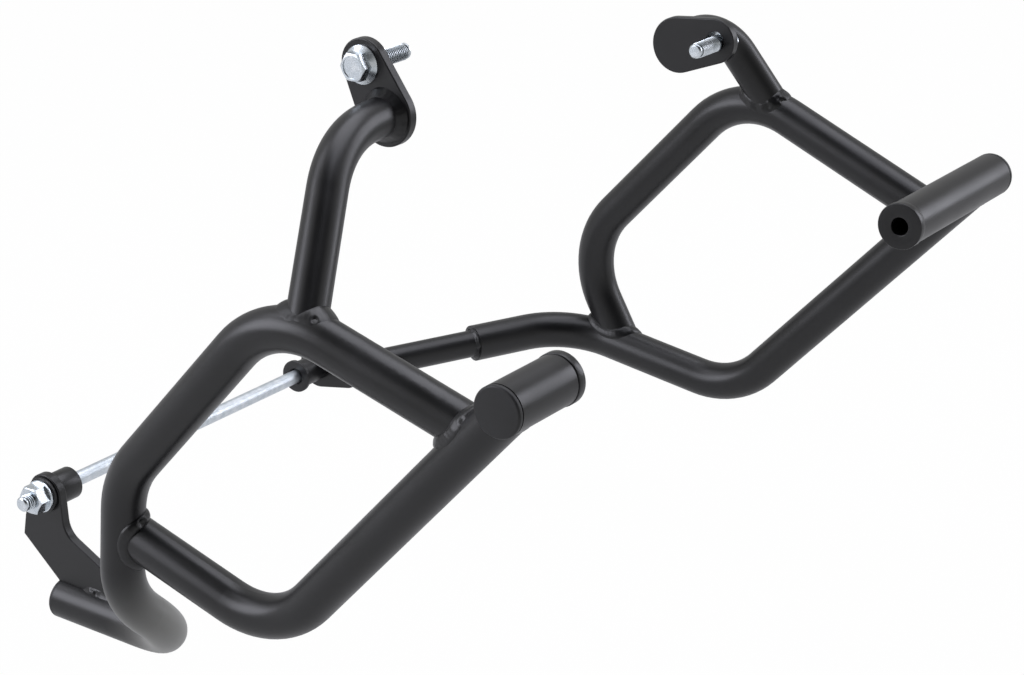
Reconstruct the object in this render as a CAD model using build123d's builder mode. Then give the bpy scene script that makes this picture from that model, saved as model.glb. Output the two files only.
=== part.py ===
from build123d import *
import os
from math import cos, radians, sin, tan

# Motorcycle crash bars, in millimetres. +X is forward, +Y is the rider's left, +Z is up.
# The engine rod's axis is the Y axis, and Y = 0 lies midway between the two tube loops.

# Main sizes: half the spread of the loops, the bosses' reach and height, the upper bolts' height
loop_offset = 232.0
boss_forward = 371.0
boss_height = 157.5
mount_height = 275.5

# Tube stock
tube_od = 25.0
tube_wall = 3.0
arm_od = 22.5
arm_wall = 2.5
extension_slack = 0.2
extension_wall = 2.5
bend_radius = 56.0
bend_room_share = 0.98
fit_up_gap = 0.1

# Lateral places
right_foot_inset = 45.0
left_foot_inset = 159.0
right_mount_inset = 117.0
left_mount_inset = 56.0
rear_flare = 3.5
front_tuck = 5.0

# Right loop, as (forward, up) corners of the tube's centre line
right_rear_corner = (111.0, 54.0)
right_top_corner = (219.5, 174.5)
right_boss_centre = (boss_forward, boss_height)
right_low_corner = (216.0, -12.5)
right_top_joint_drop = 34.5
right_low_joint_drop = 33.0
right_leg_foot = (104.0, -20.5)
right_hook_corner = (117.0, -70.5)
right_stub_end = (8.5, -67.5)
leg_bend = 47.5
hook_radius = 39.5

# Left loop
left_rear_corner = (106.0, 61.5)
left_top_corner = (232.5, 195.5)
left_boss_advance = 30.5
left_boss_lift = 1.0
left_boss_centre = (boss_forward + left_boss_advance, boss_height + left_boss_lift)
left_low_corner = (235.5, -18.0)
left_inboard_corner = (99.0, 3.0)
left_top_joint_drop = 34.0
left_low_joint_reach = 44.0
left_step_reach = 78.0
extension_overlap = 25.0

# Upper arms and plates
right_arm_set_back = 22.0
left_arm_set_back = 27.5
right_arm_bend = 66.0
left_arm_bend = 30.0
plate_thickness = 6.0
plate_edge_round = 0.8
mount_big_radius = 18.0
mount_small_radius = 14.5
mount_hole_diameter = 13.0
right_arm_end_drop = 26.0
right_arm_corner_drop = 27.5
right_arm_end = (206.0, mount_height - right_arm_end_drop)
right_arm_corner = (209.0, mount_height - right_arm_corner_drop)
right_arm_reach = 45.5
right_mount_hole = (192.0, mount_height)
left_arm_end_drop = 43.0
left_arm_corner_drop = 34.0
left_arm_end = (217.0, mount_height - left_arm_end_drop)
left_arm_corner = (223.0, mount_height - left_arm_corner_drop)
left_arm_reach = 35.5
left_mount_drop = 37.0
left_hole_advance = 1.0
left_plate_end = (243.5, mount_height - left_mount_drop)
left_mount_hole = (left_plate_end[0] + left_hole_advance, left_plate_end[1])

# Lower plates and bushes
eye_radius = 12.5
right_plate_shoulder = (-18.0, -18.0)
right_plate_rear = (-20.5, -31.0)
right_plate_front = (14.0, -22.5)
right_plate_bend = 14.0
right_plate_heel = -2.0
right_plate_toe = 58.0
right_plate_toe_rise = 5.0
left_eye_radius = 15.0
left_foot_radius = 12.0
left_extension_foot = (23.0, 1.0)
right_bush_od = 20.0
right_bush_length = 16.0
left_bush_od = 18.0
left_bush_length = 21.5

# Front bosses
boss_od = tube_od + 2.4
boss_bore = 17.0
collar_lip = 0.5
boss_step_gap = 0.6
right_boss_overhang = 17.0
right_boss_reach = 40.0
left_boss_overhang = 22.5
left_boss_reach = 110.0
cap_thickness = 3.5
collar_length = 6.0
spigot_length = 8.0
spigot_slack = 0.1

# Fasteners
bolt_diameter = 10.0
thread_diameter = 9.8
thread_chamfer = 1.0
bolt_plain_length = 7.0
bolt_neck_diameter = 8.4
bolt_neck_length = 1.5
bolt_hole = 11.0
right_bolt_length = 39.0
left_bolt_length = 32.0
left_bolt_sag_share = 0.9
left_bolt_sag_angle = -63.0
bolt_across_flats = 15.0
bolt_head_height = 9.0
bolt_flange_od = 21.8
bolt_flange_rim = 1.0
bolt_flange_height = 3.2
bolt_dish_od = 12.5
bolt_dish_depth = 0.5
hex_blank_share = 1.3
hex_land_share = 0.95
hex_chamfer_slope = 0.58
thread_slack = 0.1
rod_diameter = 9.0
rod_thread_length = 38.0
rod_tip_reach = 7.0
rod_head_height = 6.5
nut_across_flats = 16.0
nut_height = 8.0
nut_washer_od = 20.0
nut_washer_thickness = 2.0
eye_washer_od = 22.0
eye_washer_thickness = 2.5
plug_head = 2.5
plug_length = 12.0

# Levels that follow from the sizes above
right_loop_y = -loop_offset
left_loop_y = loop_offset
right_foot_y = right_loop_y + right_foot_inset
left_foot_y = left_loop_y - left_foot_inset
right_mount_y = right_loop_y + right_mount_inset
left_mount_y = left_loop_y - left_mount_inset
half_plate = plate_thickness / 2
eye = (0.0, 0.0)
extension_od = tube_od - 2 * tube_wall - extension_slack

# The left bolt lies low in its wide hole
left_bolt_sag = left_bolt_sag_share * (mount_hole_diameter - bolt_diameter) / 2
left_bolt_place = (
    left_mount_hole[0] + left_bolt_sag * cos(radians(left_bolt_sag_angle)),
    left_mount_hole[1] + left_bolt_sag * sin(radians(left_bolt_sag_angle)),
)


def place(point, y):
    """Turn a (forward, up) pair into a point of the model at the level y."""
    return Vector(point[0], y, point[1])


def toward(start, finish, distance):
    """The point that lies a distance from start on the way to finish."""
    return start + (finish - start).normalized() * distance


def across(y, point=eye, outboard=-1):
    """A sketch plane square to the Y axis, its local Y pointing up."""
    return Plane(origin=place(point, y), x_dir=(1, 0, 0) if outboard < 0 else (-1, 0, 0), z_dir=(0, outboard, 0))


def fit_bends(points, radii):
    """The bend radii, made smaller where two bends don't fit into the run between them."""
    runs = [finish - start for start, finish in zip(points, points[1:])]
    turns = [radians(before.get_angle(after)) for before, after in zip(runs, runs[1:])]
    taken = [0.0] + [radius * tan(turn / 2) for radius, turn in zip(radii, turns)] + [0.0]
    room = [run.length / (taken[i] + taken[i + 1]) for i, run in enumerate(runs)]
    return [radius * min(1.0, bend_room_share * min(room[i : i + 2])) for i, radius in enumerate(radii)]


def sweep_round(points, radii, diameter, bore=0.0):
    """Sweep a round bar or tube along straight runs joined by tangent bends."""
    with BuildLine() as route:
        if radii:
            FilletPolyline(*points, radius=fit_bends(points, radii))
        else:
            Line(*points)
    start = route.wire()
    with BuildSketch(Plane(origin=start @ 0, z_dir=start % 0)) as section:
        Circle(diameter / 2)
        if bore > 0:
            Circle(bore / 2, mode=Mode.SUBTRACT)
    sweep(section.sketch, path=start)


def skin(points, radii, diameter):
    """The outer form of a tube with the weld gap, to cope another tube's end to it."""
    with BuildPart() as form:
        sweep_round(points, radii, diameter + 2 * fit_up_gap)
    return form.part


def ring(y, point, outboard, length, outer, inner=0.0, cut=False):
    """A round disc, sleeve or cut that grows from the level y to the side outboard."""
    with BuildSketch(across(y, point, outboard)) as section:
        Circle(outer / 2)
        if inner > 0:
            Circle(inner / 2, mode=Mode.SUBTRACT)
    extrude(section.sketch, amount=length, mode=Mode.SUBTRACT if cut else Mode.ADD)


def trim_past(y, point, outboard):
    """Cut a tube square where it meets a plate's face at the level y."""
    ring(y, point, outboard, tube_od, 4 * tube_od, cut=True)


def break_edges():
    """Round the outer edges of both faces of the flat plate being built."""
    fillet([edge for face in faces().filter_by(Axis.Y) for edge in face.outer_wire().edges()], plate_edge_round)


def two_radius_plate(y, first, first_radius, second, second_radius, hole_at, hole):
    """A flat plate whose outline wraps two round ends, with one bolt hole."""
    with BuildSketch(across(y + half_plate)) as outline:
        with Locations((first[0], first[1])):
            Circle(first_radius)
        with Locations((second[0], second[1])):
            Circle(second_radius)
        make_hull()
        with Locations((hole_at[0], hole_at[1])):
            Circle(hole / 2, mode=Mode.SUBTRACT)
    extrude(outline.sketch, amount=plate_thickness)


def hex_head(y, point, outboard, across_flats, height):
    """A hexagon with its free end turned down to a chamfer."""
    seat = across(y, point, outboard)
    blank = across_flats / 2 * hex_blank_share
    land = across_flats / 2 * hex_land_share
    with BuildSketch(seat) as hexagon:
        RegularPolygon(across_flats / 2, 6, major_radius=False)
    extrude(hexagon.sketch, amount=height)
    with BuildSketch(Plane(origin=seat.origin, x_dir=(1, 0, 0), z_dir=(0, 0, 1))) as turned:
        with BuildLine():
            Polyline(
                (0, 0),
                (blank, 0),
                (blank, outboard * (height - (blank - land) * hex_chamfer_slope)),
                (land, outboard * height),
                (0, outboard * height),
                close=True,
            )
        make_face()
    revolve(turned.sketch, axis=Axis(seat.origin, (0, 1, 0)), mode=Mode.INTERSECT)


def flange_bolt(y, point, outboard, length):
    """A flange bolt whose bearing face lies at the level y and whose head points outboard."""
    hex_head(y, point, outboard, bolt_across_flats, bolt_head_height)
    ring(y + outboard * bolt_head_height, point, -outboard, bolt_dish_depth, bolt_dish_od, cut=True)
    seat = across(y, point, outboard)
    with BuildSketch(Plane(origin=seat.origin, x_dir=(1, 0, 0), z_dir=(0, 0, 1))) as flange:
        with BuildLine():
            Polyline(
                (0, 0),
                (bolt_flange_od / 2, 0),
                (bolt_flange_od / 2, outboard * bolt_flange_rim),
                (bolt_across_flats / 2, outboard * bolt_flange_height),
                (0, outboard * bolt_flange_height),
                close=True,
            )
        make_face()
    revolve(flange.sketch, axis=Axis(seat.origin, (0, 1, 0)))
    thread_start = bolt_plain_length + bolt_neck_length
    ring(y, point, -outboard, bolt_plain_length, bolt_diameter)
    ring(y, point, -outboard, length, bolt_neck_diameter)
    ring(y - outboard * thread_start, point, -outboard, length - thread_start, thread_diameter)
    tip = faces().sort_by(Axis.Y)[-1 if outboard < 0 else 0]
    chamfer(tip.edges(), thread_chamfer)


def boss_end(y, point, outboard, thickness, lip=0.0, hole=0.0):
    """A lipped end piece that plugs into the boss at the level y and shows a thin shadow gap."""
    ring(y, point, outboard, boss_step_gap, boss_od - 2 * boss_step_gap, hole)
    ring(y + outboard * boss_step_gap, point, outboard, thickness - boss_step_gap, boss_od + 2 * lip, hole)
    ring(y, point, -outboard, spigot_length, boss_bore - 2 * spigot_slack, hole)


# Right bar: centre lines
right_boss_axis = place(right_boss_centre, right_loop_y)
right_low_point = place(right_low_corner, right_loop_y)
right_rear_point = place(right_rear_corner, right_loop_y - rear_flare)
right_top_point = place(right_top_corner, right_loop_y)
right_leg_point = place(right_leg_foot, right_loop_y - rear_flare)
right_hook_point = place(right_hook_corner, right_foot_y)
right_stub_point = place(right_stub_end, right_foot_y)
right_top_joint = toward(right_boss_axis, right_low_point, right_top_joint_drop) + Vector(0, front_tuck, 0)
right_low_joint = toward(right_rear_point, right_leg_point, right_low_joint_drop) + Vector(0, rear_flare, 0)
right_main_points = [
    right_stub_point,
    right_hook_point,
    right_leg_point,
    right_rear_point,
    right_top_point,
    right_top_joint,
]
right_main_radii = [hook_radius, leg_bend, bend_radius, bend_radius]
right_low_points = [right_low_joint, right_low_point, right_boss_axis]
right_arm_foot = toward(right_top_point, right_top_joint, right_arm_set_back)
right_arm_tip = place(right_arm_end, right_mount_y + half_plate)
right_elbow = place(right_arm_corner, right_mount_y - half_plate - right_arm_reach)
right_arm_points = [right_arm_foot, right_elbow, right_arm_tip]

# Left bar: centre lines
left_boss_axis = place(left_boss_centre, left_loop_y)
left_low_point = place(left_low_corner, left_loop_y)
left_inboard_point = place(left_inboard_corner, left_loop_y)
left_rear_point = place(left_rear_corner, left_loop_y + rear_flare)
left_top_point = place(left_top_corner, left_loop_y)
left_extension_tip = place(left_extension_foot, left_foot_y + half_plate)
left_step = toward(left_inboard_point, left_extension_tip, left_step_reach)
left_low_points = [left_boss_axis, left_low_point, left_inboard_point, left_step]
left_low_radii = [bend_radius, bend_radius]
left_low_joint = toward(left_inboard_point, left_low_point, left_low_joint_reach) + Vector(0, rear_flare, 0)
left_top_joint = toward(left_boss_axis, left_low_point, left_top_joint_drop) - Vector(0, front_tuck, 0)
left_upper_points = [left_low_joint, left_rear_point, left_top_point, left_top_joint]
left_upper_radii = [bend_radius, bend_radius]
left_arm_foot = toward(left_top_point, left_top_joint, left_arm_set_back)
left_arm_tip = place(left_arm_end, left_mount_y - half_plate)
left_elbow = place(left_arm_corner, left_mount_y + half_plate + left_arm_reach)
left_arm_points = [left_arm_foot, left_elbow, left_arm_tip]

# Levels of the bosses' own ends, between the cap and the collar
right_boss_outer_y = right_loop_y - right_boss_overhang + cap_thickness
right_boss_inner_y = right_loop_y + right_boss_reach - collar_length
left_boss_outer_y = left_loop_y + left_boss_overhang - cap_thickness
left_boss_inner_y = left_loop_y - left_boss_reach + collar_length
right_boss_length = right_boss_inner_y - right_boss_outer_y
left_boss_length = left_boss_outer_y - left_boss_inner_y

# Outer forms that the branch tubes and plates are coped to. The slants are drawn upward, so that
# their seams lie on the far side from the tubes that are cut by them.
right_leg_skin = skin([right_hook_point, right_leg_point, right_rear_point, right_top_point], [leg_bend, bend_radius], tube_od)
right_crown_skin = skin([right_rear_point, right_top_point, right_top_joint], [bend_radius], tube_od)
right_slant_skin = skin([right_low_point, right_boss_axis], [], tube_od)
right_stub_skin = skin([toward(right_stub_point, right_hook_point, -2 * plug_head), right_hook_point], [], tube_od)
left_bottom_skin = skin([left_low_point, left_inboard_point, left_step], [bend_radius], tube_od)
left_crown_skin = skin([left_rear_point, left_top_point, left_top_joint], [bend_radius], tube_od)
left_slant_skin = skin([left_low_point, left_boss_axis], [], tube_od)
with BuildPart() as right_boss_skin:
    ring(right_boss_outer_y, right_boss_centre, 1, right_boss_length, boss_od + 2 * fit_up_gap)
with BuildPart() as left_boss_skin:
    ring(left_boss_inner_y, left_boss_centre, 1, left_boss_length, boss_od + 2 * fit_up_gap)

# Right bar: welded tubes
with BuildPart() as right_main_tube:
    sweep_round(right_main_points, right_main_radii, tube_od, tube_od - 2 * tube_wall)
    add(right_slant_skin, mode=Mode.SUBTRACT)
    add(right_boss_skin.part, mode=Mode.SUBTRACT)

with BuildPart() as right_lower_tube:
    sweep_round(right_low_points, [bend_radius], tube_od, tube_od - 2 * tube_wall)
    add(right_leg_skin, mode=Mode.SUBTRACT)
    add(right_boss_skin.part, mode=Mode.SUBTRACT)

with BuildPart() as right_upper_arm:
    sweep_round(right_arm_points, [right_arm_bend], arm_od, arm_od - 2 * arm_wall)
    add(right_crown_skin, mode=Mode.SUBTRACT)
    trim_past(right_mount_y - half_plate, right_arm_end, 1)

# Right bar: plates, bush, plug and boss
with BuildPart() as right_upper_plate:
    two_radius_plate(
        right_mount_y,
        right_arm_end,
        mount_big_radius,
        right_mount_hole,
        mount_small_radius,
        right_mount_hole,
        mount_hole_diameter,
    )
    break_edges()

with BuildPart() as right_lower_plate:
    with BuildSketch(across(right_foot_y + half_plate)):
        with BuildLine():
            Polyline(
                (-eye_radius, 0),
                right_plate_shoulder,
                right_plate_rear,
                (right_stub_end[0] + right_plate_heel, right_stub_end[1] + tube_od / 2),
                (right_stub_end[0] + right_plate_heel, right_stub_end[1]),
                (right_stub_end[0] + right_plate_toe, right_stub_end[1]),
                (right_stub_end[0] + right_plate_toe, right_stub_end[1] + tube_od / 2 + right_plate_toe_rise),
                right_plate_front,
                (eye_radius, 0),
                close=True,
            )
        make_face()
        fillet(vertices().group_by(Axis.Y)[-3:-1], right_plate_bend)
        Circle(eye_radius)
        Circle(bolt_hole / 2, mode=Mode.SUBTRACT)
    extrude(amount=plate_thickness)
    break_edges()
    add(right_stub_skin, mode=Mode.SUBTRACT)

with BuildPart() as right_lower_bush:
    ring(right_foot_y + half_plate, eye, 1, right_bush_length, right_bush_od, bolt_hole)

with BuildPart() as right_stub_plug:
    stub_plane = Plane(origin=right_stub_point, z_dir=right_stub_point - right_hook_point)
    with BuildSketch(stub_plane):
        Circle(tube_od / 2)
    extrude(amount=plug_head)
    with BuildSketch(stub_plane):
        Circle(tube_od / 2 - tube_wall - spigot_slack)
    extrude(amount=-plug_length)
    fillet(faces().sort_by(Axis.X)[0].edges(), plug_head / 2)

with BuildPart() as right_boss_tube:
    ring(right_boss_outer_y, right_boss_centre, 1, right_boss_length, boss_od, boss_bore)

with BuildPart() as right_boss_cap:
    boss_end(right_boss_outer_y, right_boss_centre, -1, cap_thickness)

with BuildPart() as right_boss_collar:
    boss_end(right_boss_inner_y, right_boss_centre, 1, collar_length, collar_lip, bolt_hole)

with BuildPart() as right_upper_bolt:
    flange_bolt(right_mount_y - half_plate, right_mount_hole, -1, right_bolt_length)

# Left bar: welded tubes
with BuildPart() as left_lower_tube:
    sweep_round(left_low_points, left_low_radii, tube_od, tube_od - 2 * tube_wall)
    add(left_boss_skin.part, mode=Mode.SUBTRACT)

with BuildPart() as left_upper_tube:
    sweep_round(left_upper_points, left_upper_radii, tube_od, tube_od - 2 * tube_wall)
    add(left_bottom_skin, mode=Mode.SUBTRACT)
    add(left_slant_skin, mode=Mode.SUBTRACT)
    add(left_boss_skin.part, mode=Mode.SUBTRACT)

with BuildPart() as left_extension_tube:
    sweep_round(
        [toward(left_step, left_inboard_point, extension_overlap), left_extension_tip],
        [],
        extension_od,
        extension_od - 2 * extension_wall,
    )
    trim_past(left_foot_y + half_plate, left_extension_foot, -1)

with BuildPart() as left_upper_arm:
    sweep_round(left_arm_points, [left_arm_bend], arm_od, arm_od - 2 * arm_wall)
    add(left_crown_skin, mode=Mode.SUBTRACT)
    trim_past(left_mount_y + half_plate, left_arm_end, -1)

# Left bar: plates, bush and boss
with BuildPart() as left_upper_plate:
    two_radius_plate(
        left_mount_y,
        left_arm_end,
        mount_big_radius,
        left_plate_end,
        mount_small_radius,
        left_mount_hole,
        mount_hole_diameter,
    )
    break_edges()

with BuildPart() as left_lower_plate:
    two_radius_plate(left_foot_y, eye, left_eye_radius, left_extension_foot, left_foot_radius, eye, bolt_hole)
    break_edges()

with BuildPart() as left_lower_bush:
    ring(left_foot_y - half_plate, eye, -1, left_bush_length, left_bush_od, bolt_hole)

with BuildPart() as left_boss_tube:
    ring(left_boss_inner_y, left_boss_centre, 1, left_boss_length, boss_od, boss_bore)

with BuildPart() as left_boss_cap:
    boss_end(left_boss_outer_y, left_boss_centre, 1, cap_thickness)

with BuildPart() as left_boss_collar:
    boss_end(left_boss_inner_y, left_boss_centre, -1, collar_length, collar_lip, bolt_hole)

with BuildPart() as left_upper_bolt:
    flange_bolt(left_mount_y + half_plate, left_bolt_place, 1, left_bolt_length)

# Engine rod and its hardware, from the left head to the right nut
rod_seat_y = left_foot_y + half_plate
right_eye_y = right_foot_y - half_plate
right_washer_y = right_eye_y - eye_washer_thickness
right_nut_y = right_washer_y - nut_washer_thickness
rod_tip_y = right_nut_y - nut_height - rod_tip_reach

with BuildPart() as engine_rod:
    hex_head(rod_seat_y, eye, 1, nut_across_flats, rod_head_height)
    ring(rod_seat_y, eye, -1, rod_seat_y - rod_tip_y, rod_diameter)
    ring(rod_tip_y, eye, 1, rod_thread_length, thread_diameter)
    chamfer(faces().sort_by(Axis.Y)[0].edges(), thread_chamfer)

with BuildPart() as right_rod_nut:
    hex_head(right_nut_y, eye, -1, nut_across_flats, nut_height)
    ring(right_nut_y, eye, -1, nut_height, thread_diameter + 2 * thread_slack, cut=True)

with BuildPart() as right_rod_washer:
    ring(right_washer_y, eye, -1, nut_washer_thickness, nut_washer_od, bolt_hole)

with BuildPart() as right_eye_washer:
    ring(right_eye_y, eye, -1, eye_washer_thickness, eye_washer_od, bolt_hole)

with BuildPart() as left_eye_washer:
    ring(left_foot_y - half_plate - left_bush_length, eye, -1, eye_washer_thickness, eye_washer_od, bolt_hole)

pieces = {
    "right_main_tube": right_main_tube,
    "right_lower_tube": right_lower_tube,
    "right_upper_arm": right_upper_arm,
    "right_upper_plate": right_upper_plate,
    "right_lower_plate": right_lower_plate,
    "right_lower_bush": right_lower_bush,
    "right_stub_plug": right_stub_plug,
    "right_boss_tube": right_boss_tube,
    "right_boss_cap": right_boss_cap,
    "right_boss_collar": right_boss_collar,
    "right_upper_bolt": right_upper_bolt,
    "left_upper_tube": left_upper_tube,
    "left_lower_tube": left_lower_tube,
    "left_extension_tube": left_extension_tube,
    "left_upper_arm": left_upper_arm,
    "left_upper_plate": left_upper_plate,
    "left_lower_plate": left_lower_plate,
    "left_lower_bush": left_lower_bush,
    "left_boss_tube": left_boss_tube,
    "left_boss_cap": left_boss_cap,
    "left_boss_collar": left_boss_collar,
    "left_upper_bolt": left_upper_bolt,
    "engine_rod": engine_rod,
    "right_rod_nut": right_rod_nut,
    "right_rod_washer": right_rod_washer,
    "right_eye_washer": right_eye_washer,
    "left_eye_washer": left_eye_washer,
}

os.makedirs("parts", exist_ok=True)
for name, piece in pieces.items():
    piece.part.label = name
    export_step(piece.part, f"parts/{name}.step")
    print(name, len(piece.part.solids()), round(piece.part.volume))
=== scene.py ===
import math

import bmesh
import bpy
from bpy.props import FloatProperty, FloatVectorProperty, PointerProperty
from bpy.types import Operator, Panel, PropertyGroup
from mathutils import Matrix, Vector, noise
from mathutils.bvhtree import BVHTree


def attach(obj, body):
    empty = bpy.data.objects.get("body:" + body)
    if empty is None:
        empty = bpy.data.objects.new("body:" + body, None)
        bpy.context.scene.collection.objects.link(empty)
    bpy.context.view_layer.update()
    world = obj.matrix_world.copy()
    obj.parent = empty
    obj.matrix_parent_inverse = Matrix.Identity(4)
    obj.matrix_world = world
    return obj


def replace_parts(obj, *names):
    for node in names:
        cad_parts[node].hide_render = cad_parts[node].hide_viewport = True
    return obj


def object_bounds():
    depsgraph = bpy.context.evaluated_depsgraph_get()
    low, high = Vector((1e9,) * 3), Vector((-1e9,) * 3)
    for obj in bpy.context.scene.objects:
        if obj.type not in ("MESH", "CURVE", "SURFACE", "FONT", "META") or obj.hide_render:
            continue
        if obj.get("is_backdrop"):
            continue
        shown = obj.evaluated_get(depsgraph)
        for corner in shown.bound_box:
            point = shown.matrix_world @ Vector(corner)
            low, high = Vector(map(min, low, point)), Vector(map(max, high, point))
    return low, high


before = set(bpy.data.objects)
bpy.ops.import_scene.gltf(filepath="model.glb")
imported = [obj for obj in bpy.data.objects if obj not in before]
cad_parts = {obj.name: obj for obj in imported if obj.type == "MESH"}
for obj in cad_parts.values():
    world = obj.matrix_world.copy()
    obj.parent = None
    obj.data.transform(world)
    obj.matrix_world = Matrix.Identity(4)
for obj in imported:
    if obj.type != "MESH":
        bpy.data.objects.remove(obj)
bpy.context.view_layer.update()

bl_info = {
    "name": "Motorcycle Crash Bars",
    "version": (1, 0, 0),
    "blender": (4, 5, 0),
    "location": "3D View > Sidebar > Crash Bars",
    "description": "Dresses a packed pair of crash bars with welds, threads, turned trim and finishes",
    "category": "Object",
}

MM = 0.001
TO_RIGHT = Vector((0, -1, 0))
TO_LEFT = Vector((0, 1, 0))
UP = Vector((0, 0, 1))
# The lowest bend of the right bar, where a pale sheen is painted into the powder's colour, in metres
LOW_BEND = (0.118, -0.208, -0.056)
# Most values of a noise pattern lie between these
NOISE_LOW = 0.3
NOISE_HIGH = 0.7
BEAD_CREASE = math.radians(70)
THREAD_CREASE = math.radians(25)

COATED_NODES = (
    "right_main_tube", "right_lower_tube", "right_upper_arm", "right_upper_plate", "right_lower_plate",
    "right_boss_tube", "left_upper_tube", "left_lower_tube", "left_extension_tube", "left_upper_arm",
    "left_upper_plate", "left_lower_plate", "left_boss_tube",
)


def linear(hex_colour):
    """Turn an sRGB hex value such as #1c1c1e into linear red, green, blue and alpha."""
    shares = [int(hex_colour[i:i + 2], 16) / 255 for i in (1, 3, 5)]
    return tuple(c / 12.92 if c <= 0.04045 else ((c + 0.055) / 1.055) ** 2.4 for c in shares) + (1.0,)


def mm(x, y, z):
    """A point of the bars given in millimetres, as metres."""
    return Vector((x, y, z)) * MM


# Finishes

def add_node(tree, kind, settings=None, links=None):
    """Add one shader node, set its sockets or properties by name and link its inputs."""
    node = tree.nodes.new(kind)
    for name, value in (settings or {}).items():
        if name in node.inputs:
            node.inputs[name].default_value = value
        else:
            setattr(node, name, value)
    for name, source in (links or {}).items():
        tree.links.new(source, node.inputs[name])
    return node


def start_material(name):
    """An empty material with its output, its surface shader and Object coordinates."""
    material = bpy.data.materials.new(name)
    material.use_nodes = True
    tree = material.node_tree
    tree.nodes.clear()
    place = add_node(tree, "ShaderNodeTexCoord").outputs["Object"]
    surface = add_node(tree, "ShaderNodeBsdfPrincipled")
    add_node(tree, "ShaderNodeOutputMaterial", links={"Surface": surface.outputs["BSDF"]})
    return material, tree, place, surface


def add_noise(tree, place, patch, detail):
    """A noise pattern with patches of about the given size."""
    settings = {"Scale": 1 / patch, "Detail": detail}
    return add_node(tree, "ShaderNodeTexNoise", settings, {"Vector": place}).outputs["Fac"]


def add_tint(tree, pattern, dark, light, dark_end=NOISE_LOW):
    """A colour that drifts with a pattern from a dark tone to a light one."""
    tint = add_node(tree, "ShaderNodeValToRGB", links={"Fac": pattern})
    stops = tint.color_ramp.elements
    stops[0].position = dark_end
    stops[0].color = linear(dark)
    stops[1].position = NOISE_HIGH
    stops[1].color = tuple(light) + (1.0,)
    return tint.outputs["Color"]


def add_gloss(tree, pattern, smooth, dull):
    """A roughness that drifts with a pattern."""
    span = {"From Min": NOISE_LOW, "From Max": NOISE_HIGH, "To Min": smooth, "To Max": dull}
    return add_node(tree, "ShaderNodeMapRange", span, {"Value": pattern}).outputs["Result"]


def add_relief(tree, pattern, strength, height):
    """A fine relief that follows a pattern."""
    settings = {"Strength": strength, "Distance": height}
    return add_node(tree, "ShaderNodeBump", settings, {"Height": pattern}).outputs["Normal"]


def satin_powder_coat(name, finish):
    """Polyester powder cured over shot-blasted steel: a satin black skin.

    It gives broad soft highlights, a slight drift in gloss where the film is thicker,
    a very fine orange peel that breaks up the reflections, and a painted pale sheen,
    a painted highlight, on the lowest bend of the right bar.
    """
    material, tree, place, surface = start_material(name)
    film = add_noise(tree, place, patch=38 * MM, detail=3.0)
    # Coarse enough to show from the camera
    peel = add_noise(tree, place, patch=1.3 * MM, detail=2.0)
    tint = add_tint(tree, film, "#0b0b0c", finish.powder_black)
    gloss = add_gloss(tree, film, finish.powder_roughness - 0.03, finish.powder_roughness + 0.05)
    relief = add_relief(tree, peel, strength=0.35, height=0.03 * MM)
    # Painted sheen: a pale grey mixed into the base colour round the low bend, a painted highlight standing
    # in for light
    full_sheen, no_sheen = 15 * MM, 70 * MM
    gap = add_node(tree, "ShaderNodeVectorMath", {"operation": "DISTANCE"})
    tree.links.new(place, gap.inputs[0])
    gap.inputs[1].default_value = LOW_BEND
    sheen_mask = add_node(
        tree,
        "ShaderNodeMapRange",
        {
            "interpolation_type": "SMOOTHSTEP",
            "From Min": full_sheen,
            "From Max": no_sheen,
            "To Min": 1.0,
            "To Max": 0.0,
        },
        {"Value": gap.outputs["Value"]},
    )
    with_sheen = add_node(tree, "ShaderNodeVectorMath", {"operation": "MULTIPLY_ADD"})
    tree.links.new(sheen_mask.outputs["Result"], with_sheen.inputs[0])
    with_sheen.inputs[1].default_value = finish.painted_sheen_grey
    tree.links.new(tint, with_sheen.inputs[2])
    tree.links.new(with_sheen.outputs["Vector"], surface.inputs["Base Color"])
    tree.links.new(gloss, surface.inputs["Roughness"])
    tree.links.new(relief, surface.inputs["Normal"])
    return material


def clear_zinc_plate(name, finish, grain, roughness):
    """Clear-passivated zinc on steel: a bright bluish silver.

    The plating gives small cloudy patches in its tone, and the grain is a fine scratching of
    turned or drawn stock that blurs the reflections unevenly, stretched along a drawn rod.
    """
    material, tree, place, surface = start_material(name)
    surface.inputs["Metallic"].default_value = 1.0
    stretched = add_node(tree, "ShaderNodeMapping", {"Scale": grain}, {"Vector": place})
    # Coarser than real scratches, so that they show
    scratch = add_noise(tree, stretched.outputs["Vector"], patch=1.2 * MM, detail=1.0)
    cloud = add_noise(tree, place, patch=5 * MM, detail=2.0)
    tint = add_tint(tree, cloud, "#ccd4da", finish.zinc_silver, dark_end=0.35)
    gloss = add_gloss(tree, scratch, roughness - 0.02, roughness + 0.03)
    tree.links.new(tint, surface.inputs["Base Color"])
    tree.links.new(gloss, surface.inputs["Roughness"])
    return material


def turned_zinc_plate(name, finish):
    """Zinc over turned or forged stock, scratched alike every way."""
    return clear_zinc_plate(name, finish, (1.0, 1.0, 1.0), finish.zinc_roughness)


def drawn_zinc_plate(name, finish):
    """Zinc over the drawn rod, with long scratches along Y."""
    return clear_zinc_plate(name, finish, (1.0, 0.02, 1.0), finish.rod_roughness)


def oil_and_shade_thread_root(name, finish):
    """Zinc deep in a thread, under old oil and painted shade: a dull grey that draws the thread's lines."""
    material, tree, place, surface = start_material(name)
    surface.inputs["Metallic"].default_value = 1.0
    film = add_noise(tree, place, patch=2 * MM, detail=2.0)
    # The dark tone is painted shade of the groove, together with the dulling of old oil
    tint = add_tint(tree, film, "#3c4145", finish.root_oil_and_shade_grey)
    gloss = add_gloss(tree, film, smooth=0.4, dull=0.5)
    tree.links.new(tint, surface.inputs["Base Color"])
    tree.links.new(gloss, surface.inputs["Roughness"])
    return material


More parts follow.
